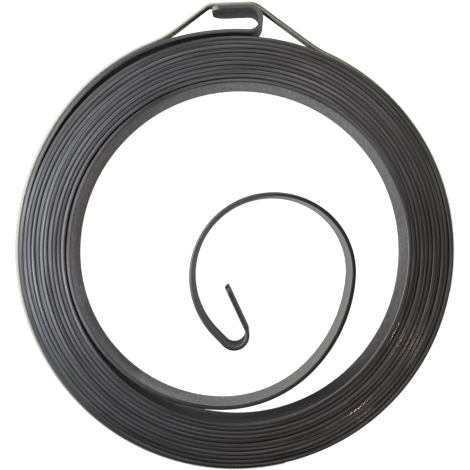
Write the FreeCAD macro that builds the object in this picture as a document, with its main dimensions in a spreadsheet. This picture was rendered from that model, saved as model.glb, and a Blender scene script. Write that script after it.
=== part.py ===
"""Recoil starter spring: a flat coiled steel strip with a hook at each end, held closed
by an open ring of round wire.

Frame: millimetres. The coil lies flat with its lower strip edges on Z = 0 and its axis
along +Z through the origin. +Y points at the outer hook. Angles are measured
anticlockwise from +X, seen from above, and the strip winds inwards that way round.
"""

import FreeCAD, Part
import os
from math import acos, asin, atan2, cos, degrees, pi, radians, sin, sqrt

from FreeCAD import Placement, Rotation, Vector

# Driving dimensions: alias, value in millimetres or degrees or as a count, meaning.
SIZES = [
    ("strip_thickness", 0.6, "thickness of the spring steel"),
    ("strip_width", 10.0, "width of the strip, which is the height of the coil"),
    ("turn_gap", 0.1, "clear space between two turns of the packed coil"),
    ("coil_radius", 37.1, "outer face of the first turn, on the side opposite the ring's gap"),
    ("packed_half_turns", 21, "half turns between the hook's leg and the last turn, odd"),
    ("leg_swell", 2.2, "how much larger the hook leg's radius is where it leaves the turn"),
    ("leg_swell_sweep", 41.1, "angle of that part of the leg"),
    ("leg_return", 2.85, "how much tighter than the first turn the leg's middle part is"),
    ("leg_return_sweep", 36.3, "angle of that part of the leg"),
    ("leg_rise", 5.23, "how much larger than the first turn the leg's part at the hook is"),
    ("outer_bend_place", 1.93, "how far past the coil's axis, in X, the outer bend starts"),
    ("outer_bend_radius", 2.1, "outer hook bend, at the middle of the strip"),
    ("outer_tip_tilt", 2.5, "slope of the outer hook's free leg in degrees"),
    ("outer_tip_length", 6.3, "length of the outer hook's free leg"),
    ("tongue_cut", 3.0, "how much narrower than the strip the outer hook is, at its lower edge"),
    ("tongue_lead", 2.0, "how far before the bend the strip is already narrowed"),
    ("tongue_corner", 1.5, "inside corner where the strip narrows"),
    ("tongue_end_radius", 2.5, "rounded lower corner of the outer hook's end"),
    ("end_corner_radius", 1.3, "rounded corners of the strip's ends"),
    ("last_turn_inset", 0.42, "how much tighter the last turn starts than the packed coil"),
    ("last_turn_sweep", 128.8, "angle of that tighter part, of the half turn up to the arm"),
    ("arm_release", 3.05, "how much tighter than the coil's bore the arm leaves it"),
    ("arm_release_sweep", 85.0, "angle of that part of the arm"),
    ("arm_elbow", 7.75, "how much tighter than the bore the arm's elbow is"),
    ("arm_elbow_sweep", 50.0, "angle of the elbow"),
    ("arm_rise", 4.35, "how much tighter than the bore the arm's rise is"),
    ("arm_rise_sweep", 40.0, "angle of the rise"),
    ("curl_entry_radius", 13.2, "radius of the inner curl where it starts"),
    ("curl_entry_sweep", 62.0, "angle of that part"),
    ("curl_radius", 14.1, "radius of the rest of the inner curl"),
    ("curl_sweep", 167.5, "angle of that part"),
    ("inner_leg_length", 2.4, "straight run before the inner hook's bend"),
    ("inner_bend_radius", 2.3, "inner hook bend, at the middle of the strip"),
    ("inner_bend_sweep", 160.5, "angle of the inner hook's bend"),
    ("inner_tip_length", 8.1, "length of the inner hook's free leg"),
    ("wire_diameter", 1.2, "retaining ring wire"),
    ("wire_sides", 12, "flats that stand for the wire's round section"),
    ("wire_clearance", 0.07, "clear space between the wire and the strip that it holds"),
    ("wire_depth", 3.4, "middle of the ring below the coil's upper face, at the axis"),
    ("wire_tilt", 2.1, "slope of the ring against the coil's faces, in degrees"),
    ("wire_high_angle", 152.0, "where the ring lies nearest to the upper face, in degrees"),
    ("wire_start_angle", -11.0, "where the ring's right end stands, in degrees"),
    ("wire_end_angle", 283.0, "where the ring's left end stands, in degrees"),
    ("wire_right_dip", 3.06, "how much steeper than the tangent to the coil the right run is"),
    ("wire_left_dip", 5.85, "how much steeper than that tangent the left run is"),
    ("wire_right_blend", 22.0, "radius of the bend where that right run meets the coil"),
    ("wire_left_blend", 20.0, "radius of the bend where that left run meets the coil"),
    ("wire_shoulder_radius", 2.0, "bend of the ring over the hook's free end"),
]

CUT_MARGIN = 1.0  # how far a cutting profile reaches past what it cuts


def heading_vector(heading):
    """The unit vector along a heading given in degrees."""
    return Vector(cos(radians(heading)), sin(radians(heading)), 0)


def right_of(heading):
    """The unit vector to the right of a heading given in degrees."""
    return Vector(sin(radians(heading)), -cos(radians(heading)), 0)


class Route:
    """A flat chain of lines and arcs, each starting where and as the last one ended."""

    def __init__(self, start, heading):
        self.point = Vector(start)
        self.heading = heading
        self.pieces = []

    def line(self, length):
        """Go straight on."""
        self.pieces.append(("line", Vector(self.point), self.heading, length, 0))
        self.point = self.point + heading_vector(self.heading) * length

    def arc(self, radius, sweep):
        """Turn through sweep degrees, to the left if it is positive."""
        self.pieces.append(("arc", Vector(self.point), self.heading, radius, sweep))
        side = 1 if sweep > 0 else -1
        centre = self.point - right_of(self.heading) * radius * side
        self.heading += sweep
        self.point = centre + right_of(self.heading) * radius * side

    def offset(self, distance):
        """The chain's curves, moved distance to the right of its middle line."""
        curves = []
        for kind, start, heading, size, sweep in self.pieces:
            shift = right_of(heading) * distance
            if kind == "line":
                end = start + heading_vector(heading) * size
                curves.append(Part.LineSegment(start + shift, end + shift))
                continue
            side = 1 if sweep > 0 else -1
            centre = start - right_of(heading) * size * side
            spoke = size * side + distance
            through = [centre + right_of(heading + sweep * part) * spoke for part in (0, 0.5, 1)]
            curves.append(Part.Arc(*through))
        return curves

    def cap(self, distance):
        """The line across the chain's present end, distance to each side."""
        across = right_of(self.heading) * distance
        return Part.LineSegment(self.point - across, self.point + across)

    def wire(self):
        """The chain's middle line as one wire."""
        return Part.Wire([curve.toShape() for curve in self.offset(0)])

    def length(self):
        """The length of the middle line."""
        return sum(size * (abs(radians(sweep)) if kind == "arc" else 1)
                   for kind, _, _, size, sweep in self.pieces)


def tangent_slope(start, start_radius, centre, radius, side):
    """The slope in degrees of the straight run that touches two circles from outside.

    The run goes down from the circle round start to the circle round centre, to the right
    for side 1 and to the left for side -1. It leans from the line of centres by the angle
    whose sine is the difference of the radii over the distance of the centres.
    """
    way = centre - start
    lean = degrees(asin((radius - start_radius) / way.Length))
    return degrees(atan2(-way.y, way.x * side)) - lean


def run_onto_circle(point, heading, centre, radius, bend, side):
    """A straight run that bends back onto a circle from outside.

    The bend turns to the right for side 1 and to the left for side -1. Its centre lies at
    bend from the run and at radius + bend from the circle's centre, which gives the length
    of the run and the angle on the circle where the bend ends.
    """
    along = heading_vector(heading)
    from_centre = point + right_of(heading) * bend * side - centre
    reach = from_centre.dot(along)
    rest = reach ** 2 - from_centre.dot(from_centre) + (radius + bend) ** 2
    length = -reach - sqrt(rest)
    bend_centre = from_centre + along * length
    return length, degrees(atan2(bend_centre.y, bend_centre.x))


def make_sheet(doc):
    """The sheet of driving dimensions, and the same values for the outlines below."""
    sheet = doc.addObject("Spreadsheet::Sheet", "Sizes")
    for row, (alias, value, meaning) in enumerate(SIZES, start=1):
        sheet.set(f"A{row}", alias)
        sheet.set(f"B{row}", str(value))
        sheet.setAlias(f"B{row}", alias)
        sheet.set(f"C{row}", meaning)
    doc.recompute()
    return sheet


class SpringSizes:
    """What follows from the driving dimensions for more than one piece."""

    def __init__(self, sheet):
        for alias, _, _ in SIZES:
            setattr(self, alias, float(getattr(sheet, alias)))
        self.half = self.strip_thickness / 2
        self.pitch = self.strip_thickness + self.turn_gap
        self.start_radius = self.coil_radius - self.half
        self.half_turns = 2 * (int(self.packed_half_turns) // 2) + 1
        self.end_radius = self.start_radius - self.half_turns * self.pitch / 2
        # Half turns are struck from two centres in turn, a quarter of the pitch either side
        # of the axis, so each meets the next on the X axis in a common tangent.
        self.upper_centre = Vector(self.pitch / 4, 0, 0)
        self.lower_centre = Vector(-self.pitch / 4, 0, 0)
        self.first_lower_radius = self.start_radius - self.pitch / 4
        self.second_upper_radius = self.first_lower_radius - self.pitch / 2
        self.swell_radius = self.start_radius + self.leg_swell
        self.swell_end = 180 - self.leg_swell_sweep
        self.return_radius = self.start_radius - self.leg_return
        self.return_end = self.swell_end - self.leg_return_sweep
        self.leg_radius = self.start_radius + self.leg_rise
        swell_centre = Vector(self.swell_radius - self.start_radius, 0, 0)
        self.return_centre = (swell_centre + heading_vector(self.swell_end)
                              * (self.swell_radius - self.return_radius))
        self.leg_centre = (self.return_centre + heading_vector(self.return_end)
                           * (self.return_radius - self.leg_radius))


def coil_route(sizes):
    """From the first turn's left side inwards to the tip of the inner hook."""
    route = Route(Vector(-sizes.start_radius, 0, 0), -90)
    for count in range(sizes.half_turns):
        route.arc(sizes.first_lower_radius - count * sizes.pitch / 2, 180)
    route.arc(sizes.end_radius - sizes.last_turn_inset, sizes.last_turn_sweep)
    route.arc(sizes.end_radius, 180 - sizes.last_turn_sweep)
    route.arc(sizes.end_radius - sizes.arm_release, sizes.arm_release_sweep)
    route.arc(sizes.end_radius - sizes.arm_elbow, sizes.arm_elbow_sweep)
    route.arc(sizes.end_radius - sizes.arm_rise, sizes.arm_rise_sweep)
    route.arc(sizes.curl_entry_radius, sizes.curl_entry_sweep)
    route.arc(sizes.curl_radius, sizes.curl_sweep)
    route.line(sizes.inner_leg_length)
    route.arc(sizes.inner_bend_radius, sizes.inner_bend_sweep)
    route.line(sizes.inner_tip_length)
    return route


def hook_route(sizes):
    """From the first turn's left side backwards to the tip of the outer hook."""
    route = Route(Vector(-sizes.start_radius, 0, 0), 90)
    route.arc(sizes.swell_radius, -sizes.leg_swell_sweep)
    route.arc(sizes.return_radius, -sizes.leg_return_sweep)
    leg_end = degrees(acos((sizes.outer_bend_place - sizes.leg_centre.x) / sizes.leg_radius))
    route.arc(sizes.leg_radius, leg_end - sizes.return_end)
    route.arc(sizes.outer_bend_radius, 270 + sizes.outer_tip_tilt - leg_end)
    route.line(sizes.outer_tip_length)
    return route


def ring_route(sizes, hook):
    """The retaining ring's middle line, from its right end over the hook to its left end."""
    stand_off = sizes.half + sizes.wire_clearance + sizes.wire_diameter / 2
    crown = 180 + sizes.outer_tip_tilt
    bend_radius = sizes.outer_bend_radius + stand_off
    bend_centre = (hook.point - heading_vector(crown) * sizes.outer_tip_length
                   - right_of(crown) * sizes.outer_bend_radius)

    right_radius = sizes.second_upper_radius + stand_off
    right_heading = 180 - sizes.wire_right_dip - tangent_slope(
        bend_centre, bend_radius, sizes.upper_centre, right_radius, 1)
    right_top = bend_centre + right_of(right_heading) * bend_radius
    right_run, right_angle = run_onto_circle(
        right_top, right_heading + 180, sizes.upper_centre, right_radius,
        sizes.wire_right_blend, -1)

    shoulder_centre = hook.point + right_of(crown) * (stand_off - sizes.wire_shoulder_radius)
    left_radius = sizes.return_radius + stand_off
    left_heading = 180 + sizes.wire_left_dip + tangent_slope(
        shoulder_centre, sizes.wire_shoulder_radius, sizes.return_centre, left_radius, -1)
    left_top = shoulder_centre + right_of(left_heading) * sizes.wire_shoulder_radius
    left_run, left_angle = run_onto_circle(
        left_top, left_heading, sizes.return_centre, left_radius, sizes.wire_left_blend, 1)

    lower_radius = sizes.first_lower_radius + stand_off
    start = sizes.lower_centre + heading_vector(sizes.wire_start_angle) * lower_radius
    route = Route(start, sizes.wire_start_angle + 90)
    route.arc(lower_radius, -sizes.wire_start_angle)
    route.arc(right_radius, right_angle)
    route.arc(sizes.wire_right_blend, right_heading - 90 - right_angle)
    route.line(right_run)
    route.arc(bend_radius, crown - right_heading)
    route.line(sizes.outer_tip_length)
    route.arc(sizes.wire_shoulder_radius, left_heading - crown)
    route.line(left_run)
    route.arc(sizes.wire_left_blend, left_angle + 90 - left_heading)
    route.arc(left_radius, sizes.swell_end - left_angle)
    route.arc(sizes.swell_radius + stand_off, sizes.leg_swell_sweep)
    route.arc(lower_radius, sizes.wire_end_angle - 180)
    return route


def origin_plane(body, role):
    """One of a body's own three planes."""
    return next(plane for plane in body.Origin.OriginFeatures if plane.Role == role)


def add_sketch(doc, body, name, curves):
    """A sketch on the body's XY plane that holds fixed curves."""
    sketch = body.newObject("Sketcher::SketchObject", name)
    sketch.AttachmentSupport = [(origin_plane(body, "XY_Plane"), "")]
    sketch.MapMode = "FlatFace"
    doc.recompute()
    sketch.addGeometry(curves, False)
    doc.recompute()
    return sketch


def short_edge_at(shape, place):
    """The name of the straight edge whose middle is nearest to a place."""
    best = None
    for number, edge in enumerate(shape.Edges, start=1):
        if edge.Curve.TypeId != "Part::GeomLine":
            continue
        middle = (edge.Vertexes[0].Point + edge.Vertexes[-1].Point) * 0.5
        distance = (middle - place).Length
        if best is None or distance < best[0]:
            best = (distance, f"Edge{number}")
    return best[1]


def round_corners(doc, body, name, places, alias):
    """Round the short edges across the strip at some places, with a radius from the sheet."""
    base = body.Tip
    fillet = body.newObject("PartDesign::Fillet", name)
    fillet.Base = (base, [short_edge_at(base.Shape, place) for place in places])
    fillet.setExpression("Radius", f"Sizes.{alias}")
    doc.recompute()
    return fillet


def make_strip(doc, sizes):
    """The spring strip: one outline that follows the whole route, as high as the strip is
    wide, narrowed along the outer hook and rounded at its ends."""
    coil = coil_route(sizes)
    hook = hook_route(sizes)
    body = doc.addObject("PartDesign::Body", "SpringStrip")
    body.Label = "spring_strip"

    outline = []
    for route in (coil, hook):
        outline += route.offset(sizes.half)
        outline += route.offset(-sizes.half)
        outline.append(route.cap(sizes.half))
    profile = add_sketch(doc, body, "StripOutline", outline)
    pad = body.newObject("PartDesign::Pad", "StripPad")
    pad.Profile = profile
    pad.setExpression("Length", "Sizes.strip_width")
    doc.recompute()

    # The tongue: the strip's lower edge is cut away from a little before the bend.
    step = sizes.outer_bend_place - sizes.tongue_lead
    leg_height = sizes.leg_centre.y + sqrt(
        sizes.leg_radius ** 2 - (step - sizes.leg_centre.x) ** 2)
    turn_outside = sizes.second_upper_radius + sizes.half
    low = (leg_height - sizes.half + turn_outside) / 2
    inside = hook.point.y - sizes.half - CUT_MARGIN / 2
    left = hook.point.x - CUT_MARGIN
    right = sizes.outer_bend_place + sizes.outer_bend_radius + sizes.half + CUT_MARGIN
    top = hook.point.y + sizes.outer_bend_radius + CUT_MARGIN
    corners = [Vector(left, top, 0), Vector(right, top, 0), Vector(right, low, 0),
               Vector(step, low, 0), Vector(step, inside, 0), Vector(left, inside, 0)]
    lines = [Part.LineSegment(corner, corners[(number + 1) % len(corners)])
             for number, corner in enumerate(corners)]
    relief = add_sketch(doc, body, "TongueRelief", lines)
    pocket = body.newObject("PartDesign::Pocket", "TonguePocket")
    pocket.Profile = relief
    pocket.Reversed = True
    pocket.setExpression("Length", "Sizes.tongue_cut")
    doc.recompute()

    floor = sizes.tongue_cut
    round_corners(doc, body, "TongueCorner", [Vector(step, leg_height, floor)],
                  "tongue_corner")
    round_corners(doc, body, "TongueEnd", [hook.point + Vector(0, 0, floor)],
                  "tongue_end_radius")
    ends = [hook.point + Vector(0, 0, sizes.strip_width),
            coil.point + Vector(0, 0, sizes.strip_width), coil.point]
    round_corners(doc, body, "EndCorners", ends, "end_corner_radius")
    return body, coil, hook


def make_ring(doc, sizes, hook):
    """The retaining ring: wire swept along its middle line, in a slightly tilted plane.

    Twelve flats stay within 0.02 mm of the round section, and need a quarter of the facets
    that a round tube of this length takes.
    """
    route = ring_route(sizes, hook)
    height = sizes.strip_width - sizes.wire_depth
    tilt = Rotation(heading_vector(sizes.wire_high_angle - 90), sizes.wire_tilt)
    plane = Placement(Vector(0, 0, height), tilt)
    path = doc.addObject("Part::Feature", "RingPath")
    path.Shape = route.wire()
    path.Placement = plane
    section = doc.addObject("Part::RegularPolygon", "RingSection")
    section.setExpression("Polygon", "Sizes.wire_sides")
    section.setExpression("Circumradius", "Sizes.wire_diameter / 2")
    _, start, heading, _, _ = route.pieces[0]
    facing = Rotation(Vector(0, 0, 1), heading_vector(heading))
    section.Placement = plane.multiply(Placement(start, facing))
    ring = doc.addObject("Part::Sweep", "RetainingRing")
    ring.Label = "retaining_ring"
    ring.Sections = [section]
    ring.Spine = (path, [])
    ring.Solid = True
    ring.Frenet = False
    doc.recompute()
    return ring, route


def check(doc, parts):
    """Stop if any object failed, or if a piece isn't one valid solid."""
    for item in doc.Objects:
        if "Invalid" in item.State or "Error" in item.State:
            raise RuntimeError(f"{item.Name} failed: {item.State}")
    for part in parts:
        shape = part.Shape
        if shape.isNull() or not shape.isValid() or len(shape.Solids) != 1:
            raise RuntimeError(f"{part.Label} isn't one valid solid")


def main():
    doc = FreeCAD.newDocument("RecoilStarterSpring")
    sizes = SpringSizes(make_sheet(doc))
    strip, coil, hook = make_strip(doc, sizes)
    ring, ring_path = make_ring(doc, sizes, hook)
    check(doc, [strip, ring])

    os.makedirs("parts", exist_ok=True)
    for part in (strip, ring):
        part.Shape.exportStep(f"parts/{part.Label}.step")
        box = part.Shape.BoundBox
        print(f"{part.Label}: volume {part.Shape.Volume:.2f} mm3,",
              f"X {box.XMin:.2f} to {box.XMax:.2f}, Y {box.YMin:.2f} to {box.YMax:.2f},",
              f"Z {box.ZMin:.2f} to {box.ZMax:.2f}")
    strip_length = coil.length() + hook.length()
    print(f"strip length {strip_length:.1f} mm,",
          f"plain volume {strip_length * sizes.strip_thickness * sizes.strip_width:.2f} mm3")
    corner = 2 * pi / sizes.wire_sides
    wire_area = sizes.wire_sides * (sizes.wire_diameter / 2) ** 2 * sin(corner) / 2
    print(f"wire length {ring_path.length():.1f} mm,",
          f"plain volume {ring_path.length() * wire_area:.2f} mm3")


main()
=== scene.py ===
"""Recoil starter spring, dressed: a blued steel strip wound into a flat coil with a hook at
each end, and the bright wire ring that holds it shut.

Sizes of the two pieces are millimetres and degrees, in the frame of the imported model: the
coil lies flat on Z = 0 round the Z axis, and +Y points at the outer hook. Meshes, lights and
floor are metres.
"""
import logging
import math
from dataclasses import dataclass
from enum import Enum
from typing import Any, Optional, Sequence, Union

import bpy
import numpy as np
from mathutils import Matrix, Vector


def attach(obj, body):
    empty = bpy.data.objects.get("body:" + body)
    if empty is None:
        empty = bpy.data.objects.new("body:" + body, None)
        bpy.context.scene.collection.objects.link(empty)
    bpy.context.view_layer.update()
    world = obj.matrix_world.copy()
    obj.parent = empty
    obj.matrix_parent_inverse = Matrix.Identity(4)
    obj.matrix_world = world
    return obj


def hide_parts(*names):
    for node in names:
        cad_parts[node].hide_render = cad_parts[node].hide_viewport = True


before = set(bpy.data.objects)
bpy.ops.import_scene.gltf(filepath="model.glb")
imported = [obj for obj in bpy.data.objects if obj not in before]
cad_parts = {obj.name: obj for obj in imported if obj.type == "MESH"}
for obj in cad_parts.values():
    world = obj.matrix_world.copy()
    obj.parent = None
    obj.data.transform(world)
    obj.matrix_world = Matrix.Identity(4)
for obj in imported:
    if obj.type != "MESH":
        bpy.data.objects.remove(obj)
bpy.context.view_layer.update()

LOG = logging.getLogger("starter_spring")
MM = 0.001
BODY = "root"

# Least bend that counts as one, and least depth that counts as being further in.
STRAIGHT = 1e-9
TOUCH = 1e-6

# Places of the mix node's sockets when it mixes colours, and when it mixes numbers.
SHARE, UNDER, OVER, MIXED = 0, 6, 7, 2
UNDER_NUMBER, OVER_NUMBER, MIXED_NUMBER = 2, 3, 0
MIX_COLOURS = {"data_type": "RGBA"}
MULTIPLY_COLOURS = {"data_type": "RGBA", "blend_type": "MULTIPLY"}
MULTIPLY_ADD = {"operation": "MULTIPLY_ADD"}
SMOOTH_STEP = {"interpolation_type": "SMOOTHSTEP"}

Array = np.ndarray
# An arc's radius, or what it is more or less than another one's, and its sweep.
Bend = tuple[float, float]
# A pattern's length along and height across a piece, its start, and its noise's detail and
# roughness.
Pattern = tuple[float, float, float, float, float]
# A wave's height, its length over two pi, and its start in radians.
Wave = tuple[float, float, float]
# A stretch of painted corner highlight: its distance from the inner tip, its half length and
# its strength.
Stretch = tuple[float, float, float]
# The distance of wear from the outer tip, its half length, its bell's power and strength.
Wear = tuple[float, float, int, float]
# A spot's angle round the coil, the radius of its turn, its half length and its strength.
Spot = tuple[float, float, float, float]


class Surface(Enum):
    """Names that the meshes and the finishes share."""

    ALONG = "lengthwise_mm"
    EDGE = "rolled_edge"
    # Thick black oxide, and painted shade in corners and on some walls and edges.
    DARK = "dark_oxide"
    # Rubbed bright steel, and painted highlights, glints and sheen.
    RUBBED_AND_HIGHLIT = "rubbed_bright"


# ---------------------------------------- paths


@dataclass(frozen=True)
class Run:
    """A stretch of a flat path that keeps its bend, which is one over its radius."""

    length: float
    bend: float = 0.0


def arc(radius: float, sweep: float) -> Run:
    """A run round a circle, whose sweep in degrees is positive to the left."""
    return Run(radius * abs(math.radians(sweep)), math.copysign(1.0 / radius, sweep))


class FlatPath:
    """Runs that each start where and as the last one ended.

    A point at distance d into a run of bend k lies along the chord that is turned by k d / 2
    from the run's first heading, and that chord is d sin(k d / 2) / (k d / 2) long.
    """

    def __init__(self, start: Sequence[float], heading: float, runs: Sequence[Run]) -> None:
        """Lay out the runs.

        Args:
            start: X and Y of the path's first point.
            heading: direction at that point, in degrees from +X.
            runs: the stretches in their order.
        """
        self.runs = list(runs)
        lengths = np.array([run.length for run in runs])
        self.bends = np.array([run.bend for run in runs])
        self.marks = np.concatenate(([0.0], np.cumsum(lengths)))
        turned = np.concatenate(([0.0], np.cumsum(lengths * self.bends)))
        self.headings = math.radians(heading) + turned
        steps = self._chord(lengths, self.bends, self.headings[:-1])
        self.points = np.array(start) + np.vstack(([0.0, 0.0], np.cumsum(steps, axis=0)))

    @staticmethod
    def _chord(into: Array, bend: Array, heading: Array) -> Array:
        """Steps from the starts of runs to points at some distances into them.

        Args:
            into: distances into the runs.
            bend: the runs' bends.
            heading: the runs' first headings in radians.

        Returns:
            One X, Y step a row.
        """
        half_turn = into * bend / 2
        size = into * np.sinc(half_turn / math.pi)
        course = heading + half_turn
        return np.stack((size * np.cos(course), size * np.sin(course)), axis=-1)

    @property
    def length(self) -> float:
        """The path's whole length."""
        return float(self.marks[-1])

    def at(self, distance: Array) -> tuple[Array, Array]:
        """Points and headings at distances along the path.

        Args:
            distance: distances from the path's start.

        Returns:
            X, Y rows, and headings in radians.
        """
        index = np.searchsorted(self.marks, distance, "right") - 1
        index = np.clip(index, 0, len(self.runs) - 1)
        into = distance - self.marks[index]
        bend, heading = self.bends[index], self.headings[index]
        return self.points[index] + self._chord(into, bend, heading), heading + bend * into

    def backwards(self) -> "FlatPath":
        """The same path from its end to its start."""
        runs = [Run(run.length, -run.bend) for run in reversed(self.runs)]
        return FlatPath(self.points[-1], math.degrees(self.headings[-1]) + 180, runs)

    def then(self, other: "FlatPath") -> "FlatPath":
        """This path followed by the runs of another one that starts at its end."""
        return FlatPath(self.points[0], math.degrees(self.headings[0]), self.runs + other.runs)

    def stations(self, share: float, finest: float, coarsest: float) -> Array:
        """Distances along the path, closer together where it bends tightly.

        Args:
            share: spacing as a share of the radius.
            finest: least spacing.
            coarsest: most spacing, also on straight runs.

        Returns:
            Distances from 0 up to the path's length.
        """
        spacing = np.clip(share / np.maximum(np.abs(self.bends), STRAIGHT), finest, coarsest)
        pieces = [
            np.linspace(first, last, max(2, math.ceil((last - first) / step)), endpoint=False)
            for first, last, step in zip(self.marks[:-1], self.marks[1:], spacing)
        ]
        return np.concatenate(pieces + [self.marks[-1:]])


def quarter_round(distance: Array, radius: float) -> Array:
    """How far a rounded corner falls below its flank, at distances in from its end.

    It is radius minus the root of radius squared less (radius - distance) squared, and
    nothing further in than the radius.
    """
    short = np.clip(radius - distance, 0.0, radius)
    return radius - np.sqrt(radius ** 2 - short ** 2)


def rounded_ends(distance: Array, length: float, radius: float) -> Array:
    """How far a flank falls by a quarter round at both ends of a path."""
    return quarter_round(distance, radius) + quarter_round(length - distance, radius)


def cosine_steps(radius: float, count: int) -> Array:
    """Distances into a rounded corner that are closest where it is steepest."""
    return radius * (1 - np.cos(np.linspace(0, math.pi / 2, count)))


def thin_out(distance: Array, least: float) -> Array:
    """Sorted distances without those that follow another one too closely.

    Args:
        distance: distances in any order.
        least: the smallest step that is kept.

    Returns:
        The kept distances, with the last one always among them.
    """
    ordered = np.sort(distance)
    kept = np.concatenate(([True], np.diff(ordered) > least))
    kept[-1] = True
    return ordered[kept]


def waves(distance: Array, terms: Sequence[Wave]) -> Array:
    """The sum of each wave's height times the sine of distance over its length plus start."""
    return sum(height * np.sin(distance / length + start) for height, length, start in terms)


def bell(offset: Array, half_length: Union[float, Array], power: int = 2) -> Array:
    """A hump of height 1: the exponential of minus (offset / half length) to a power."""
    return np.exp(-(offset / half_length) ** power)


# ---------------------------------------- meshes


def skin_rings(
    name: str, rings: Array, along: Array, around: Array,
    shares: Optional[dict[Surface, Array]] = None,
) -> bpy.types.Object:
    """A closed skin over rings of points, with a flat cap at each end.

    Ring i is the loop of points rings[i]. Each four points i, j / i + 1, j / i + 1, j + 1 /
    i, j + 1 make a face, and the last point of a ring is followed by its first.

    Args:
        name: the object's name.
        rings: points in millimetres, shape (rings, points, 3), anticlockwise when seen
            from behind the path's start, so that faces point outwards.
        along: distance of each ring along the path, for the lengthwise map.
        around: distance round the ring of each of its points, and of the first one again.
        shares: for each named share, its value at every point, shape (rings, points).

    Returns:
        The object, at the origin, in metres.
    """
    count, size, _ = rings.shape
    first = np.arange(count - 1)[:, None] * size
    here = np.arange(size)[None, :]
    after = (here + 1) % size
    quads = np.stack((first + here, first + size + here, first + size + after, first + after),
                     axis=-1).reshape(-1, 4)
    caps = [list(range(size)), list(range(count * size - 1, (count - 1) * size - 1, -1))]

    mesh = bpy.data.meshes.new(name)
    mesh.from_pydata((rings.reshape(-1, 3) * MM).tolist(), [], quads.tolist() + caps)
    mesh.polygons.foreach_set("use_smooth", np.ones(len(mesh.polygons), dtype=bool))

    near, far = along[:-1, None], along[1:, None]
    left, right = around[None, :-1], around[None, 1:]
    corners = np.stack(
        np.broadcast_arrays(near, left, far, left, far, right, near, right), axis=-1)
    cap_corners = [np.stack((np.full(size, spot), around[:-1]), axis=-1).ravel()
                   for spot in (along[0], along[-1])]
    layer = mesh.uv_layers.new(name=Surface.ALONG.value)
    layer.data.foreach_set("uv", np.concatenate([corners.ravel()] + cap_corners))

    for kind, values in (shares or {}).items():
        share = mesh.attributes.new(kind.value, "FLOAT", "POINT")
        share.data.foreach_set("value", values.astype(np.float32).ravel())
    mesh.update()

    piece = bpy.data.objects.new(name, mesh)
    bpy.context.scene.collection.objects.link(piece)
    return piece


# ---------------------------------------- finishes


def linear(hex_colour: str) -> tuple[float, float, float, float]:
    """An sRGB hex colour made linear.

    Args:
        hex_colour: a hash and six digits.

    Returns:
        Red, green and blue from 0 to 1, and an alpha of 1.
    """
    channels = np.array([int(hex_colour[i:i + 2], 16) for i in (1, 3, 5)]) / 255
    low, high = channels / 12.92, ((channels + 0.055) / 1.055) ** 2.4
    return tuple(float(c) for c in np.where(channels <= 0.04045, low, high)) + (1.0,)


def add_node(
    tree: bpy.types.NodeTree, kind: str, settings: Optional[dict[str, Any]] = None,
    inputs: Optional[dict[Any, Any]] = None,
) -> bpy.types.Node:
    """Add one node.

    Args:
        tree: the node tree that gets it.
        kind: the node's type.
        settings: values of its properties.
        inputs: for an input's name or number, a value, or a socket to link from.

    Returns:
        The node.
    """
    node = tree.nodes.new(kind)
    for name, value in (settings or {}).items():
        setattr(node, name, value)
    for name, value in (inputs or {}).items():
        if isinstance(value, bpy.types.NodeSocket):
            tree.links.new(value, node.inputs[name])
        else:
            node.inputs[name].default_value = value
    return node


def new_material(name: str) -> bpy.types.Material:
    """An empty node material.

    Args:
        name: the material's name.

    Returns:
        The material, whose tree has no nodes yet.
    """
    material = bpy.data.materials.new(name)
    material.use_nodes = True
    material.node_tree.nodes.clear()
    return material


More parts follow.
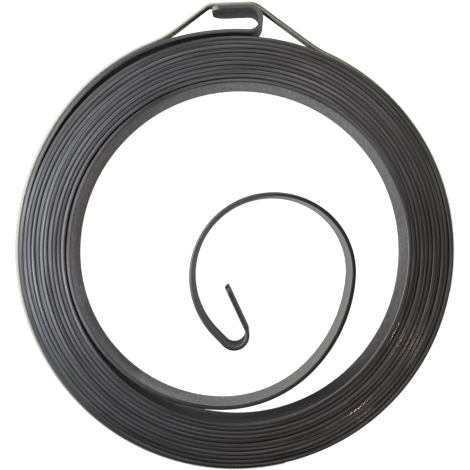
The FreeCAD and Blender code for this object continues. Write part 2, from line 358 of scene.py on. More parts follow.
@dataclass(frozen=True)
class BluedStripSteel:
    """Carbon spring steel strip, cold rolled, hardened, blued and lightly oiled.

    The oxide gives a dark satin grey that turns blue or brown in broad patches, and is near
    black where it lies thick; the same near black is painted shade in the corners, on the
    arm's edges and on some stretches of wall. The rolled edges are a little lighter and
    shinier than the faces, and change from turn to turn. The faces have short marks across
    the strip from rolling and coiling. Where the strip has been rubbed it is bright and
    smooth; the same bright colour is painted highlight on some corners, painted glint on
    the rubbed spots and painted sheen on the arm's walls.
    """

    blue_grey: str = "#808184"
    brown_grey: str = "#6a6561"
    # Near black of thick oxide, also used as painted shade.
    oxide_and_shade_black: str = "#242426"
    # Bright rubbed steel, also used as painted highlight, glint and sheen.
    rubbed_bright: str = "#dcdddf"
    edge_blue: str = "#9d9ea1"
    edge_dark: str = "#7b7a79"
    rim_tint: str = "#a5a4a3"
    # What brown patches add to the roughness of a face or an edge, and rubbing takes away.
    face_roughness: float = 0.42
    edge_roughness: float = 0.3
    patch_roughness: float = 0.05
    rubbed_polish: float = 0.22
    # A span is the part of a pattern's noise that counts: patches spread it from blue to
    # brown, and marks and streaks over the range of their light.
    patches: Pattern = (45.0, 20.0, 3.7, 3.0, 0.6)
    patch_span: tuple[float, float] = (0.36, 0.66)
    marks: Pattern = (0.5, 1 / 0.35, 0.0, 4.0, 0.65)
    mark_span: tuple[float, float] = (0.3, 0.7)
    mark_light: tuple[float, float] = (0.6, 1.5)
    streaks: Pattern = (14.0, 0.2, 0.0, 3.0, 0.6)
    streak_span: tuple[float, float] = (0.35, 0.65)
    streak_light: tuple[float, float] = (0.5, 1.35)
    # Real grain of the rolls is a tenth as wide, which would not show.
    grain: Pattern = (50.0, 0.25, 0.0, 2.0, 0.5)
    # The relief: grain against marks, its depth and strength, and what rubbing takes away.
    grain_share: float = 0.4
    relief_depth: float = 0.03
    relief_strength: float = 0.35
    rubbed_smoothing: float = 1.2

    def material(self) -> bpy.types.Material:
        """The finish as a node material.

        Returns:
            The material, which reads the strip's lengthwise map and its three shares.
        """
        material = new_material("blued_spring_strip")
        tree = material.node_tree
        uv = add_node(tree, "ShaderNodeUVMap", {"uv_map": Surface.ALONG.value})
        edge, dark, spots = (
            add_node(tree, "ShaderNodeAttribute", {"attribute_name": kind.value})
            for kind in (Surface.EDGE, Surface.DARK, Surface.RUBBED_AND_HIGHLIT))

        # Noise that is stretched to each pattern's size along and across the strip.
        noise = []
        for length, height, start, detail, roughness in (
            self.patches, self.marks, self.streaks, self.grain,
        ):
            space = add_node(tree, "ShaderNodeMapping", None, {
                "Vector": uv.outputs["UV"], "Location": (start, 0, 0),
                "Scale": (1 / length, 1 / height, 1)})
            noise.append(add_node(tree, "ShaderNodeTexNoise", None, {
                "Vector": space.outputs[0], "Scale": 1.0, "Detail": detail,
                "Roughness": roughness}).outputs[0])
        patches, marks, streaks, grain = noise

        # Broad patches turn faces and edges from blue to brown. Over them lie short marks
        # across the faces, and lighter and darker streaks along the edges.
        spread = add_node(tree, "ShaderNodeMapRange", SMOOTH_STEP, {
            "Value": patches,
            "From Min": self.patch_span[0], "From Max": self.patch_span[1]})
        tones = []
        for blue, brown, detail, span, light in (
            (self.blue_grey, self.brown_grey, marks, self.mark_span, self.mark_light),
            (self.edge_blue, self.edge_dark, streaks, self.streak_span, self.streak_light),
        ):
            patched = add_node(tree, "ShaderNodeMix", MIX_COLOURS, {
                SHARE: spread.outputs[0], UNDER: linear(blue), OVER: linear(brown)})
            lit = add_node(tree, "ShaderNodeMapRange", None, {
                "Value": detail, "From Min": span[0], "From Max": span[1],
                "To Min": light[0], "To Max": light[1]})
            tones.append(add_node(tree, "ShaderNodeMix", MULTIPLY_COLOURS, {
                SHARE: 1.0, UNDER: patched.outputs[MIXED], OVER: lit.outputs[0]}))

        # Edges over faces, then thick black oxide and painted shade, then bright steel where
        # it is rubbed, which is also painted highlight, glint and sheen.
        face, rim = (tone.outputs[MIXED] for tone in tones)
        colour = face
        for share, layer in (
            (edge, rim), (dark, linear(self.oxide_and_shade_black)), (spots, linear(self.rubbed_bright)),
        ):
            colour = add_node(tree, "ShaderNodeMix", MIX_COLOURS, {
                SHARE: share.outputs["Fac"], UNDER: colour, OVER: layer}).outputs[MIXED]

        # The rolls' lengthwise grain and the marks are a relief that rubbing smooths away.
        relief = add_node(tree, "ShaderNodeMath", MULTIPLY_ADD, {
            0: grain, 1: self.grain_share, 2: marks})
        strength = add_node(tree, "ShaderNodeMath", {**MULTIPLY_ADD, "use_clamp": True}, {
            0: spots.outputs["Fac"], 1: -self.rubbed_smoothing, 2: self.relief_strength})
        bump = add_node(tree, "ShaderNodeBump", None, {
            "Height": relief.outputs[0], "Strength": strength.outputs[0],
            "Distance": self.relief_depth * MM})

        rough = add_node(tree, "ShaderNodeMix", {"data_type": "FLOAT"}, {
            SHARE: edge.outputs["Fac"], UNDER_NUMBER: self.face_roughness,
            OVER_NUMBER: self.edge_roughness})
        uneven = add_node(tree, "ShaderNodeMath", MULTIPLY_ADD, {
            0: spread.outputs[0], 1: self.patch_roughness, 2: rough.outputs[MIXED_NUMBER]})
        polished = add_node(tree, "ShaderNodeMath", MULTIPLY_ADD, {
            0: spots.outputs["Fac"], 1: -self.rubbed_polish, 2: uneven.outputs[0]})
        steel = add_node(tree, "ShaderNodeBsdfPrincipled", None, {
            "Base Color": colour, "Metallic": 1.0, "Roughness": polished.outputs[0],
            "Specular Tint": linear(self.rim_tint), "Normal": bump.outputs[0]})
        add_node(tree, "ShaderNodeOutputMaterial", None, {"Surface": steel.outputs[0]})
        return material


@dataclass(frozen=True)
class BrightDrawnWire:
    """Steel wire drawn through a die and left bright.

    It is shiny and pale, with fine lengthwise drawing lines and a faint warm oil film.
    """

    steel: str = "#e6e6dc"
    film: str = "#d2d3c2"
    rim_tint: str = "#484846"
    roughness: float = 0.22
    # Patches of the oil film, how much of their noise counts and what they add to the
    # roughness.
    film_patches: Pattern = (25.0, 1 / 0.3, 0.0, 3.0, 0.5)
    film_span: tuple[float, float] = (0.35, 0.65)
    film_roughness: float = 0.1
    # Real drawing lines are a fifth as wide, which would not show.
    lines: Pattern = (20.0, 0.12, 0.0, 2.0, 0.5)
    line_depth: float = 0.01
    line_strength: float = 0.25

    def material(self) -> bpy.types.Material:
        """The finish as a node material.

        Returns:
            The material, which reads the wire's lengthwise map.
        """
        material = new_material("bright_drawn_wire")
        tree = material.node_tree
        uv = add_node(tree, "ShaderNodeUVMap", {"uv_map": Surface.ALONG.value})
        noise = []
        for length, height, start, detail, roughness in (self.film_patches, self.lines):
            space = add_node(tree, "ShaderNodeMapping", None, {
                "Vector": uv.outputs["UV"], "Location": (start, 0, 0),
                "Scale": (1 / length, 1 / height, 1)})
            noise.append(add_node(tree, "ShaderNodeTexNoise", None, {
                "Vector": space.outputs[0], "Scale": 1.0, "Detail": detail,
                "Roughness": roughness}).outputs[0])
        film, lines = noise
        share = add_node(tree, "ShaderNodeMapRange", None, {
            "Value": film, "From Min": self.film_span[0], "From Max": self.film_span[1]})
        colour = add_node(tree, "ShaderNodeMix", MIX_COLOURS, {
            SHARE: share.outputs[0], UNDER: linear(self.steel), OVER: linear(self.film)})
        bump = add_node(tree, "ShaderNodeBump", None, {
            "Height": lines, "Strength": self.line_strength,
            "Distance": self.line_depth * MM})
        rough = add_node(tree, "ShaderNodeMath", MULTIPLY_ADD, {
            0: share.outputs[0], 1: self.film_roughness, 2: self.roughness})
        steel = add_node(tree, "ShaderNodeBsdfPrincipled", None, {
            "Base Color": colour.outputs[MIXED], "Metallic": 1.0,
            "Roughness": rough.outputs[0], "Specular Tint": linear(self.rim_tint),
            "Normal": bump.outputs[0]})
        add_node(tree, "ShaderNodeOutputMaterial", None, {"Surface": steel.outputs[0]})
        return material


@dataclass(frozen=True)
class LitPaleFloor:
    """Matt white film lit from beneath, which leaves no shadow round the part."""

    white: str = "#f4f4f4"
    roughness: float = 0.9
    glow: float = 1.15

    def material(self) -> bpy.types.Material:
        """The finish as a node material.

        Returns:
            The material, in one even colour.
        """
        material = new_material("lit_pale_floor")
        tree = material.node_tree
        film = add_node(tree, "ShaderNodeBsdfPrincipled", None, {
            "Base Color": linear(self.white), "Roughness": self.roughness,
            "Emission Color": linear(self.white), "Emission Strength": self.glow})
        add_node(tree, "ShaderNodeOutputMaterial", None, {"Surface": film.outputs[0]})
        return material


# ---------------------------------------- pieces


@dataclass(frozen=True)
class StripSection:
    """The points of the strip's rounded section, as weights.

    It is walked from the wall on the right, up round that corner, over the crowned upper
    edge and down to the wall on the left, and then the same way over the lower edge.
    """

    side: Array      # 1 on the right of the middle line, -1 on the left, 0 in the middle
    reach: Array     # share of the corner radius by which the point reaches outwards
    upper: Array     # whether it belongs to the upper edge
    depth: Array     # how far it lies inside that edge
    flat: Array      # 1 on the flat of a rolled edge
    rounded: Array   # 1 in a rounded corner


@dataclass
class SpringStrip:
    """The coiled strip from the tip of its outer hook to the tip of its inner hook."""

    # The strip and its packed turns. The start radius is that of the first turn's middle.
    thickness: float = 0.6
    width: float = 10.0
    turn_gap: float = 0.1
    start_radius: float = 36.8
    half_turns: int = 21
    # The outer hook: how much larger than the first turn its leg's arcs are, and their
    # sweeps, then the radius and sweep of its bend, and its free leg.
    leg_arcs: tuple[Bend, ...] = ((2.2, 41.1), (-2.85, 36.3), (5.23, 15.0176))
    outer_bend: Bend = (2.1, 184.9176)
    outer_tip_length: float = 6.3
    # How much tighter than the bore the last turn and the arm's release, elbow and rise
    # are, and their sweeps.
    last_turn: Bend = (0.42, 128.8)
    arm_arcs: tuple[Bend, ...] = ((3.05, 85.0), (7.75, 50.0), (4.35, 40.0))
    # The inner curl's radii and sweeps, and the inner hook.
    curl_arcs: tuple[Bend, ...] = ((13.2, 62.0), (14.1, 167.5))
    inner_leg_length: float = 2.4
    inner_bend: Bend = (2.3, 160.5)
    inner_tip_length: float = 8.1
    # The tongue that the outer hook is narrowed to, and the rounded ends.
    tongue_cut: float = 3.0
    tongue_lead: float = 2.0
    tongue_end_radius: float = 2.5
    end_corner_radius: float = 1.3
    end_chamfer: float = 0.1
    # The rolled edge: its corners and the angles of their points, how far its middle
    # stands up, how far it bulges, and how far below its corners the plain wall starts.
    edge_radius: float = 0.04
    corner_angles: tuple[float, ...] = (0.0, 30.0, 60.0, 90.0)
    edge_crown: float = 0.02
    edge_bead: float = 0.034
    wall_start: float = 0.3
    # Sections: their spacing as a share of the radius, at least and at most, the smallest
    # step, and how many more stand in each corner and on each half of the tongue's step.
    spacing: tuple[float, float, float] = (0.045, 0.14, 1.35)
    smallest_step: float = 0.008
    corner_sections: int = 10
    step_sections: int = 9
    # How far the turns stand up, lie sideways and lean, in slow waves. The lean fades in
    # along the hook and its leg, and out at the inner tip.
    height_play: float = 0.2
    height_waves: tuple[Wave, ...] = ((0.5, 27.1, 1.0), (0.3, 41.7, 2.2), (0.2, 15.3, 0.0))
    side_play: float = 0.012
    side_waves: tuple[Wave, ...] = ((0.5, 23.3, 0.0), (0.5, 37.9, 0.7))
    lean_play: float = 0.05
    lean_length: float = 31.0
    lean_wander: Wave = (2.0, 97.0, 0.0)
    lean_fades: tuple[float, float] = (90.0, 10.0)
    # How far the inner packed turns and the last turn are off their evenly wound place,
    # and how fast that fades.
    inner_growth: float = -0.066
    inner_shift: tuple[float, float] = (0.047, -0.092)
    inner_fade: float = 12.0
    last_turn_close: float = 0.05
    last_turn_fades: tuple[float, float] = (25.0, 30.0)
    # Near black: painted shade in the rounded corners, less on the side of the coil where the
    # key light falls; thick oxide on the walls of both annealed ends; painted shade on some
    # stretches of wall, and on the edges of the arm, which counts from arm_delay times its
    # fade behind the bore.
    corner_painted_shade: float = 0.8
    lit_side_share: float = 0.6
    lit_side: float = 180.0
    lit_side_spread: float = 45.0
    outer_anneal: float = 22.0
    outer_anneal_fade: float = 12.0
    outer_oxide: float = 0.5
    inner_anneal: float = 56.0
    inner_anneal_fade: float = 10.0
    inner_oxide: float = 0.9
    arm_fade: float = 30.0
    arm_delay: float = 0.8
    # Painted shade on the arm's top edges, in place of the dark ceiling that they reflect.
    arm_edge_painted_shade: float = 0.55
    # Painted shade on stretches of the bore's wall, darkest at 275 to 320 degrees beside the
    # arm.
    painted_wall_shade: tuple[Spot, ...] = (
        (275.0, 29.6, 15.0, 0.8), (303.0, 29.6, 9.0, 0.5), (320.0, 29.6, 9.0, 0.2),
        (130.0, 29.0, 22.0, 0.25), (170.0, 29.1, 14.0, 0.15), (215.0, 28.4, 16.0, 0.45),
    )
    # Bright wear on the hook's corners, its tip and its leg; a painted sheen on the arm's
    # walls;
    # painted highlights on the inner corners; and rubbed spots on the tops of some turns,
    # lightened as painted glints.
    hook_wear: Wear = (0.0, 16.0, 4, 0.5)
    tip_wear: Wear = (0.0, 0.8, 2, 0.3)
    leg_wear: Wear = (35.0, 30.0, 4, 0.25)
    # A painted sheen that lightens the arm's walls, in place of the bright floor that they
    # reflect.
    arm_painted_sheen: float = 0.22
    # Painted highlights along the inner corners, near the inner tip and round the bore.
    highlit_stretches: tuple[Stretch, ...] = (
        (69.0, 5.0, 0.8), (54.5, 4.0, 0.8), (11.0, 2.5, 0.9), (20.0, 7.0, 0.5),
    )
    painted_corner_highlights: tuple[Spot, ...] = (
        (304.0, 29.6, 11.0, 0.9), (335.0, 29.6, 12.0, 0.5), (357.0, 29.6, 8.0, 0.9),
        (15.0, 29.0, 8.0, 0.5),
    )
    # Spots on the tops of some turns, rubbed smooth to catch the small lamps, and lightened
    # towards near white as painted glints and highlights.
    rubbed_spots_and_glints: tuple[Spot, ...] = (
        (307.0, 33.4, 2.3, 1.0), (308.0, 35.0, 1.2, 0.5), (298.0, 33.4, 1.0, 0.6),
        (306.0, 35.9, 1.0, 0.4), (305.0, 31.7, 1.2, 0.3), (333.0, 30.5, 1.8, 1.0),
        (331.0, 31.9, 3.0, 0.5), (332.5, 32.7, 3.0, 0.5), (331.5, 33.6, 3.4, 0.4),
        (333.0, 34.4, 3.0, 0.5), (331.0, 35.2, 2.4, 0.4),
        (198.0, 34.95, 12.0, 0.25), (203.0, 33.45, 10.0, 0.25), (208.0, 31.2, 9.0, 0.3),
        (196.0, 29.6, 14.0, 0.25), (247.0, 29.3, 4.0, 0.6), (65.0, 32.5, 4.0, 0.2),
        (68.0, 31.2, 5.0, 0.2), (62.0, 29.8, 4.0, 0.2),
    )

    def middle_line(self) -> FlatPath:
        """The strip's middle line, from the outer tip inwards.

        Returns:
            The hook's runs, walked from the tip to the coil's left side, then the packed
            half turns, each half a pitch smaller than the one before, the last turn, the
            arm, the inner curl and the inner hook.
        """
        pitch = self.thickness + self.turn_gap
        start = (-self.start_radius, 0.0)
        leg = [arc(self.start_radius + larger, -sweep) for larger, sweep in self.leg_arcs]
        tip = [arc(*self.outer_bend), Run(self.outer_tip_length)]
        hook = FlatPath(start, 90, leg + tip)
        packed = [arc(self.start_radius - pitch / 4 - count * pitch / 2, 180)
                  for count in range(self.half_turns)]
        bore = self.start_radius - self.half_turns * pitch / 2
        inset, sweep = self.last_turn
        inner = [
            arc(bore - inset, sweep), arc(bore, 180 - sweep),
            *(arc(bore - tighter, sweep) for tighter, sweep in self.arm_arcs),
            *(arc(radius, sweep) for radius, sweep in self.curl_arcs),
            Run(self.inner_leg_length), arc(*self.inner_bend), Run(self.inner_tip_length),
        ]
        return hook.backwards().then(FlatPath(start, -90, packed + inner))

    def landmarks(self, path: FlatPath) -> tuple[float, float, float]:
        """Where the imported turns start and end, and where the arm leaves the bore.

        The hook has two runs besides its leg's arcs, and the last turn has two.

        Args:
            path: the middle line.

        Returns:
            Three distances along it.
        """
        first = len(self.leg_arcs) + 2
        last = first + self.half_turns
        return tuple(path.marks[[first, last, last + 2]])

    def tongue_place(self) -> float:
        """How far from the outer tip the strip's lower edge steps down to full width."""
        return self.outer_tip_length + arc(*self.outer_bend).length + self.tongue_lead

    def distances(self, path: FlatPath) -> Array:
        """Where along the strip its sections stand, closer at bends, ends and the step.

        Args:
            path: the middle line.

        Returns:
            Distances along it in their order.
        """
        step = self.tongue_place()
        rounding = cosine_steps(self.tongue_cut / 2, self.step_sections)
        ends = np.concatenate([cosine_steps(radius, self.corner_sections) for radius in (
            self.end_chamfer, self.end_corner_radius, self.tongue_end_radius)])
        extra = np.concatenate((ends, path.length - ends, step + rounding, step - rounding))
        return thin_out(np.concatenate((path.stations(*self.spacing), extra)),
                        self.smallest_step)

    def heights(self, distance: Array, length: float) -> tuple[Array, Array]:
        """The strip's lower and upper edge along its length.

        The upper edge falls at both ends by a quarter round. The lower edge rises by a
        quarter round at the inner end. Along the tongue it lies tongue_cut higher, with a
        rounded outer corner, and it steps down in an S of two quarter rounds. Slow waves
        lift both edges by up to height_play, differently on each turn.

        Args:
            distance: distances along the middle line.
            length: its whole length.

        Returns:
            The heights of the lower and of the upper edge.
        """
        step = self.tongue_place()
        half_cut = self.tongue_cut / 2
        outside = np.where(distance < step,
                           self.tongue_cut - quarter_round(step - distance, half_cut),
                           quarter_round(distance - step, half_cut))
        low = (outside + quarter_round(distance, self.tongue_end_radius)
               + quarter_round(length - distance, self.end_corner_radius))
        spare = self.height_play + 2 * self.lean_reach()
        high = self.width - spare - rounded_ends(distance, length, self.end_corner_radius)
        lift = self.height_play * (0.5 + 0.5 * waves(distance, self.height_waves))
        return low + lift + self.lean_reach(), high + lift + self.lean_reach()

    def lean_reach(self) -> float:
        """How far a leaning edge's corner stands above its middle at the most."""
        return self.lean_play * self.thickness / 2

    def section(self) -> StripSection:
        """The strip's section, with the same points at its upper and its lower edge.

        A corner's point at an angle lies cos(angle) times the radius outwards, and the
        crown plus (1 - sin(angle)) times the radius deep.

        Returns:
            The section's points.
        """
        radius, crown = self.edge_radius, self.edge_crown
        fan = np.radians(self.corner_angles)
        fall = radius - radius * np.sin(fan) + crown
        wall = [radius + self.wall_start]
        flank = np.ones(len(fan) + 1)
        side = np.concatenate((flank, [0.0], -flank))
        reach = np.concatenate(([1.0], np.cos(fan), [0.0], np.cos(fan[::-1]), [1.0]))
        depth = np.tile(np.concatenate((wall, fall, [0.0], fall[::-1], wall)), 2)
        upper = np.repeat([True, False], len(side))
        flat = (depth < crown + TOUCH).astype(float)
        rounded = (depth < radius + crown + TOUCH) * (1 - flat)
        return StripSection(np.concatenate((side, -side)), np.tile(reach, 2), upper, depth,
                            flat, rounded)

    def drift(self, path: FlatPath, distance: Array, points: Array) -> Array:
        """How far the turns lie outwards of their evenly wound place.

        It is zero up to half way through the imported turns, and grows evenly to the last
        one: there it is inner_growth plus inner_shift along the point's direction from the
        axis. It fades out again over the first inner_fade of the last turn. That turn lies
        last_turn_close further out than evenly wound, except near its two ends.

        Args:
            path: the middle line.
            distance: where its sections stand.
            points: X and Y of those places.

        Returns:
            One distance a section.
        """
        first, last, leaving = self.landmarks(path)
        fade_in, fade_out = self.last_turn_fades
        share = np.interp(distance, [(first + last) / 2, last, last + self.inner_fade],
                          [0, 1, 0])
        close = np.interp(distance, [last, last + fade_in, leaving - fade_out, leaving],
                          [0, 1, 1, 0])
        outwards = points / np.linalg.norm(points, axis=1, keepdims=True)
        return (share * (self.inner_growth + outwards @ np.array(self.inner_shift))
                + self.last_turn_close * close)

    def near_spots(self, points: Array, spots: Sequence[Spot]) -> Array:
        """How much of some spots the strip has along its length, from 0 to 1.

        A spot is on one turn alone, and fades along it as a bell of its half length.

        Args:
            points: X and Y of the middle line.
            spots: the spots.

        Returns:
            One share a point.
        """
        radius = np.hypot(points[:, 0], points[:, 1])[:, None]
        angle = np.arctan2(points[:, 1], points[:, 0])[:, None]
        place, turn, reach, strength = np.array(spots).T
        turned = (angle - np.radians(place) + math.pi) % (2 * math.pi) - math.pi
        same_turn = np.abs(radius - turn) < (self.thickness + self.turn_gap) / 2
        return np.clip((bell(turned * turn, reach) * same_turn) @ strength, 0, 1)

    def oxide_and_shade(self, points: Array, outer_end: Array, inner_end: Array, arm: Array) -> Array:
        """How dark each point of the sections is, from 0 to 1: thick black oxide, and painted
        shade.

        Args:
            points: X and Y of the middle line.
            outer_end: each section's share in the annealed outer end, as a column.
            inner_end: its share in the annealed inner end.
            arm: its share in the arm and the curl.

        Returns:
            One share a point, a section a row.
        """
        section = self.section()
        angle = np.degrees(np.arctan2(points[:, 1], points[:, 0]))[:, None]
        off_side = (angle - self.lit_side + 180) % 360 - 180
        # The corners' painted shade is lifted round the side where the key light falls.
        lit_side_lift = self.lit_side_share * bell(off_side, self.lit_side_spread)
        ends = np.maximum(self.outer_oxide * outer_end, self.inner_oxide * inner_end)
        # Painted shade on stretches of the bore's wall.
        wall_shade = self.near_spots(points, self.painted_wall_shade)[:, None]
        wall = 1 - section.flat - section.rounded
        # Painted shade in the corners and on the arm's top edges; on the walls, the larger of
        # the annealed ends' thick oxide and the painted wall shade.
        return ((self.corner_painted_shade - lit_side_lift) * section.rounded
                + self.arm_edge_painted_shade * section.flat * arm
                + wall * np.maximum(ends, wall_shade))

    def wear_and_highlights(self, distance: Array, points: Array, length: float) -> Array:
        """How bright each point of the sections is from painted highlights on the inner
        corners, and from wear on the hook, tip and leg.

        Returns:
            One share a point, a section a row.
        """
        section = self.section()
        corner, top = section.rounded * section.upper, section.flat * section.upper
        # Painted highlights on the inner corners, in stretches near the inner tip and in spots
        # round the bore.
        place, half_length, strength = np.array(self.highlit_stretches).T
        stretch_highlights = bell((length - distance)[:, None] - place, half_length) @ strength
        corner_highlights = (self.near_spots(points, self.painted_corner_highlights) + stretch_highlights)[:, None]
        hook, tip, leg = (
            strength * bell(distance - middle, half_length, power)[:, None]
            for middle, half_length, power, strength in (
                self.hook_wear, self.tip_wear, self.leg_wear))
        # Painted highlights on the inner corners; wear on the hook's corners, its tip and its
        # leg's top.
        return (corner_highlights * corner * (section.side < 0) + hook * corner + tip * (corner + top)
                + leg * top)

    def shares(self, path: FlatPath, distance: Array, points: Array) -> dict[Surface, Array]:
        """What the finish has at each point of the sections.

        Args:
            path: the middle line.
            distance: where its sections stand.
            points: X and Y of those places.

        Returns:
            The rolled edges' share; the share of black oxide and painted shade, less where the
            strip is worn or carries painted highlights; and the bright share of rubbed spots
            lightened as painted glints, of wear, of painted corner highlights and of the arm
            walls' painted sheen.
        """
        section = self.section()
        from_end = path.length - distance
        from_bore = distance - self.landmarks(path)[-1]
        outer_end = (self.outer_anneal - distance) / self.outer_anneal_fade
        inner_end = (self.inner_anneal - from_end) / self.inner_anneal_fade
        free = from_bore / self.arm_fade - self.arm_delay
        outer_end, inner_end, free = (
            np.clip(share, 0, 1)[:, None] for share in (outer_end, inner_end, free))
        arm = free * (1 - inner_end)
        oxide_and_shade = self.oxide_and_shade(points, outer_end, inner_end, arm)
        wear_and_highlights = self.wear_and_highlights(distance, points, path.length)
        # Rubbed spots on the tops of turns, lightened as painted glints.
        spots = self.near_spots(points, self.rubbed_spots_and_glints)[:, None]
        wall = 1 - section.flat - section.rounded
        # Rubbed spots lightened as painted glints, wear and painted corner highlights, and the
        # painted sheen on the arm's walls.
        rubbed_and_highlit = spots * section.flat * section.upper + wear_and_highlights + self.arm_painted_sheen * arm * wall
        return {
            Surface.EDGE: np.broadcast_to(section.flat, oxide_and_shade.shape),
            Surface.DARK: np.clip(oxide_and_shade - wear_and_highlights, 0, 1),
            Surface.RUBBED_AND_HIGHLIT: np.clip(rubbed_and_highlit, 0, 1),
        }

    def build(self) -> bpy.types.Object:
        """The strip's mesh: its section carried along its middle line.

        A section's point lies at side * (half thickness - corner radius + bead + reach *
        corner radius) to the right of the line, with the bead only on the rolled edges,
        and depth below the upper or above the lower edge. Leaning lifts it by the lean
        times its distance to the right.

        Returns:
            The dressed strip, in the place of its node.
        """
        path = self.middle_line()
        distance = self.distances(path)
        points, heading = path.at(distance)
        low, high = self.heights(distance, path.length)
        trim = rounded_ends(distance, path.length, self.end_chamfer)
        section = self.section()
        bead = self.edge_bead * (section.flat + section.rounded)
        half = (self.thickness / 2 - trim)[:, None] - self.edge_radius + bead
        across = section.side * (half + section.reach * self.edge_radius)
        sway = self.side_play * waves(distance, self.side_waves)
        middle = (sway + self.drift(path, distance, points))[:, None]
        height = np.where(section.upper, (high - trim)[:, None] - section.depth,
                          (low + trim)[:, None] + section.depth)
        lean = self.lean_play * np.sin(
            distance / self.lean_length + waves(distance, [self.lean_wander]))
        fade_in, fade_out = self.lean_fades
        fade = np.minimum(distance / fade_in, (path.length - distance) / fade_out)
        height = height + (lean * np.clip(fade, 0, 1))[:, None] * across
        right = np.stack((np.sin(heading), -np.cos(heading)), axis=-1)
        flat = points[:, None, :] + right[:, None, :] * (across + middle)[..., None]
        rings = np.concatenate((flat, height[..., None]), axis=-1)

        model = rings[len(rings) // 2]
        sides = np.linalg.norm(np.diff(np.vstack((model, model[:1])), axis=0), axis=1)
        around = np.concatenate(([0.0], np.cumsum(sides)))
        piece = skin_rings("spring_strip_wound", rings, distance, around,
                           self.shares(path, distance, points))
        piece.data.materials.append(BluedStripSteel().material())
        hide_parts("spring_strip")
        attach(piece, BODY)
        return piece


@dataclass
class RetainingRing:
    """The open wire ring round the coil, from its right end over the hook to its left end."""

    # The wire, the height of the ring's middle, and its slope towards its high side.
    wire_radius: float = 0.58
    height: float = 6.6
    tilt: float = 2.1
    high_side: float = 152.0
    # The wire's middle line, level and from its right end.
    start: tuple[float, float] = (36.7293, -7.1735)
    start_heading: float = 79.0
    route: tuple[Run, ...] = (
        arc(37.595, 11),       # beside the lower half of the first turn
        arc(37.245, 65.1293),  # beside its upper half
        arc(22, -11.1249),     # bending off the coil
        Run(10.307),           # free, up to the hook
        arc(3.07, 38.4957),    # round the hook's bend
        Run(6.3),              # along the hook's free leg
        arc(2.0, 35.0067),     # over that leg's end
        Run(5.9962),           # free, down to the hook's leg
        arc(20, -15.1748),     # bending onto the leg
        arc(34.92, 26.568),    # beside the leg's tight part
        arc(39.97, 41.1),      # beside the part where the leg leaves the turn
        arc(37.595, 103),      # round the first turn to the left end
    )
    # Points round the wire, the rounding of its ends and the sections in it, and the
    # sections' spacing as a share of the radius, at least and at most.
    sides: int = 20
    end_round: float = 0.22
    end_sections: int = 6
    spacing: tuple[float, float, float] = (0.05, 0.12, 0.9)
    smallest_step: float = 0.005

    def build(self) -> bpy.types.Object:
        """The wire's mesh: a circle carried along its middle line, rounded at both ends.

        A point lies at the radius times the cosine of its angle to the right of the line,
        and the radius times the sine above it. The radius falls by a quarter round at the
        ends. The whole ring is then turned by tilt about the flat axis a quarter turn
        clockwise of its high side, and set at its height.

        Returns:
            The dressed ring, in the place of its node.
        """
        path = FlatPath(self.start, self.start_heading, self.route)
        tips = cosine_steps(self.end_round, self.end_sections)
        distance = thin_out(np.concatenate(
            (path.stations(*self.spacing), tips, path.length - tips)), self.smallest_step)
        points, heading = path.at(distance)
        radius = self.wire_radius - rounded_ends(distance, path.length, self.end_round)
        angle = np.linspace(0, 2 * math.pi, self.sides, endpoint=False)
        right = np.stack((np.sin(heading), -np.cos(heading)), axis=-1)
        across = radius[:, None] * np.cos(angle)
        flat = points[:, None, :] + right[:, None, :] * across[..., None]
        height = radius[:, None] * np.sin(angle)
        rings = np.concatenate((flat, height[..., None]), axis=-1)
        level = math.radians(self.high_side - 90)
        axis = Vector((math.cos(level), math.sin(level), 0))
        turn = np.array(Matrix.Rotation(math.radians(self.tilt), 3, axis))
        rings = rings @ turn.T + [0, 0, self.height]
        around = np.linspace(0, 2 * math.pi * self.wire_radius, self.sides + 1)
        piece = skin_rings("retaining_ring_wire", rings, distance, around)
        piece.data.materials.append(BrightDrawnWire().material())
        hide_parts("retaining_ring")
        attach(piece, BODY)
        return piece


# ---------------------------------------- studio


@dataclass(frozen=True)
class SoftBox:
    """A square area light that points at the coil. Its place and size are metres."""

    name: str
    place: tuple[float, float, float]
    size: float
    watts: float
    colour: str

    def build(self) -> bpy.types.Object:
        """The light.

        Returns:
            Its object, turned towards the coil's middle.
        """
        lamp = bpy.data.lights.new(self.name, "AREA")
        lamp.shape = "SQUARE"
        lamp.size = self.size
        lamp.energy = self.watts
        lamp.color = linear(self.colour)[:3]
        light = bpy.data.objects.new(self.name, lamp)
        light.location = self.place
        light.rotation_euler = (-Vector(self.place)).to_track_quat("-Z", "Y").to_euler()
        bpy.context.scene.collection.objects.link(light)
        return light


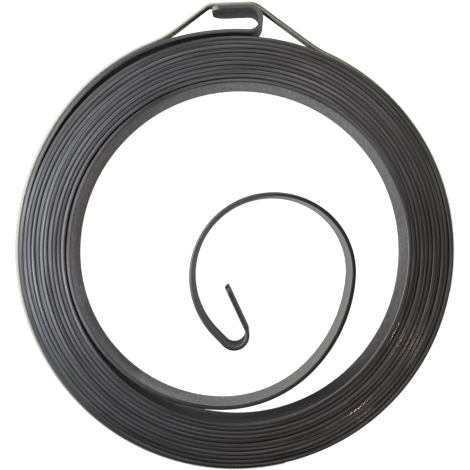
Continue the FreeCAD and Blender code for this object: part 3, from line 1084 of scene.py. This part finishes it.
@dataclass
class Studio:
    """The lit pale floor, the soft boxes and the camera straight above the coil."""

    # The camera's place in millimetres, its lens, what it sees from and to in metres, and
    # how far the part stands off the picture's middle, in pixels of the picture's width.
    camera_place: tuple[float, float, float] = (0.88, 1.87, 161.3)
    lens: float = 68.2
    sensor_width: float = 36.0
    clip: tuple[float, float] = (0.005, 50.0)
    frame_pixels: float = 470.0
    framing_shift: tuple[float, float] = (-7.5, 5.0)
    # The floor's radius in metres, its depth below the part in millimetres, its corners.
    floor_reach: float = 3.0
    floor_drop: float = 0.01
    floor_corners: int = 64
    # The room. Between the heights of horizon its walls turn into the ceiling, and between
    # those of tent_top the tent ends. Between the values of tent_edge, for how much a
    # direction points to tent_side, the tent begins. A height is a direction's Z.
    ceiling: str = "#262728"
    walls: str = "#8a8a8b"
    horizon: tuple[float, float] = (0.08, 0.35)
    tent: str = "#f3f5fa"
    tent_side: tuple[float, float, float] = (-0.92, 0.39, 0.0)
    tent_edge: tuple[float, float] = (0.1, 0.6)
    tent_top: tuple[float, float] = (0.945, 0.8)
    sky_strength: float = 1.2
    soft_boxes: tuple[SoftBox, ...] = (
        SoftBox("key_left", (-0.215, 0.008, 0.62), 0.18, 0.235, "#f6f8ff"),
        SoftBox("fill_back", (0.12, 0.23, 0.6), 0.27, 0.15, "#fff6f0"),
        SoftBox("small_lamp_low", (0.096, -0.139, 0.6), 0.014, 0.019, "#ffd8b4"),
        SoftBox("small_lamp_right", (0.13, -0.075, 0.6), 0.014, 0.016, "#ffd8b4"),
    )

    def floor(self) -> bpy.types.Object:
        """A flat round sheet just under the part.

        Returns:
            The floor, which is not part of the object.
        """
        angle = np.linspace(0, 2 * math.pi, self.floor_corners, endpoint=False)
        rim = np.stack((self.floor_reach * np.cos(angle), self.floor_reach * np.sin(angle),
                        np.full(self.floor_corners, -self.floor_drop * MM)), axis=-1)
        mesh = bpy.data.meshes.new("floor")
        mesh.from_pydata(rim.tolist(), [], [list(range(self.floor_corners))])
        floor = bpy.data.objects.new("floor", mesh)
        bpy.context.scene.collection.objects.link(floor)
        floor.data.materials.append(LitPaleFloor().material())
        return floor

    def surroundings(self) -> None:
        """A room, grey at the horizon and dark above, with a white tent wall on the left."""
        world = bpy.data.worlds.new("studio")
        world.use_nodes = True
        tree = world.node_tree
        tree.nodes.clear()
        place = add_node(tree, "ShaderNodeTexCoord")
        axes = add_node(tree, "ShaderNodeSeparateXYZ", None, {0: place.outputs["Generated"]})
        towards = add_node(tree, "ShaderNodeVectorMath", {"operation": "DOT_PRODUCT"}, {
            0: place.outputs["Generated"], 1: self.tent_side})
        rise, below, beside = (
            add_node(tree, "ShaderNodeMapRange", SMOOTH_STEP, {
                "Value": value, "From Min": span[0], "From Max": span[1]})
            for value, span in (
                (axes.outputs["Z"], self.horizon), (axes.outputs["Z"], self.tent_top),
                (towards.outputs["Value"], self.tent_edge)))
        room = add_node(tree, "ShaderNodeMix", MIX_COLOURS, {
            SHARE: rise.outputs[0], UNDER: linear(self.walls), OVER: linear(self.ceiling)})
        tent = add_node(tree, "ShaderNodeMath", {"operation": "MULTIPLY"}, {
            0: beside.outputs[0], 1: below.outputs[0]})
        around = add_node(tree, "ShaderNodeMix", MIX_COLOURS, {
            SHARE: tent.outputs[0], UNDER: room.outputs[MIXED], OVER: linear(self.tent)})
        sky = add_node(tree, "ShaderNodeBackground", None, {
            "Color": around.outputs[MIXED], "Strength": self.sky_strength})
        add_node(tree, "ShaderNodeOutputWorld", None, {"Surface": sky.outputs[0]})
        bpy.context.scene.world = world

    def camera(self) -> bpy.types.Object:
        """The camera, looking straight down with +Y up in the picture.

        Returns:
            Its object, which the scene uses.
        """
        lens = bpy.data.cameras.new("camera")
        lens.lens = self.lens
        lens.sensor_width = self.sensor_width
        lens.clip_start, lens.clip_end = self.clip
        lens.shift_x, lens.shift_y = (part / self.frame_pixels for part in self.framing_shift)
        camera = bpy.data.objects.new("camera", lens)
        camera.location = Vector(self.camera_place) * MM
        bpy.context.scene.collection.objects.link(camera)
        bpy.context.scene.camera = camera
        return camera

    def build(self) -> None:
        """Everything that is not part of the object."""
        self.floor()
        self.surroundings()
        self.camera()
        for box in self.soft_boxes:
            box.build()
        bpy.context.scene.view_settings.view_transform = "Standard"


def main() -> None:
    """Build the studio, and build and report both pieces."""
    logging.basicConfig(level=logging.INFO, format="%(name)s %(message)s")
    Studio().build()
    for sub_assembly in (SpringStrip(), RetainingRing()):
        piece = sub_assembly.build()
        LOG.info("%s: %d faces", piece.name, len(piece.data.polygons))


if __name__ == "__main__":
    main()
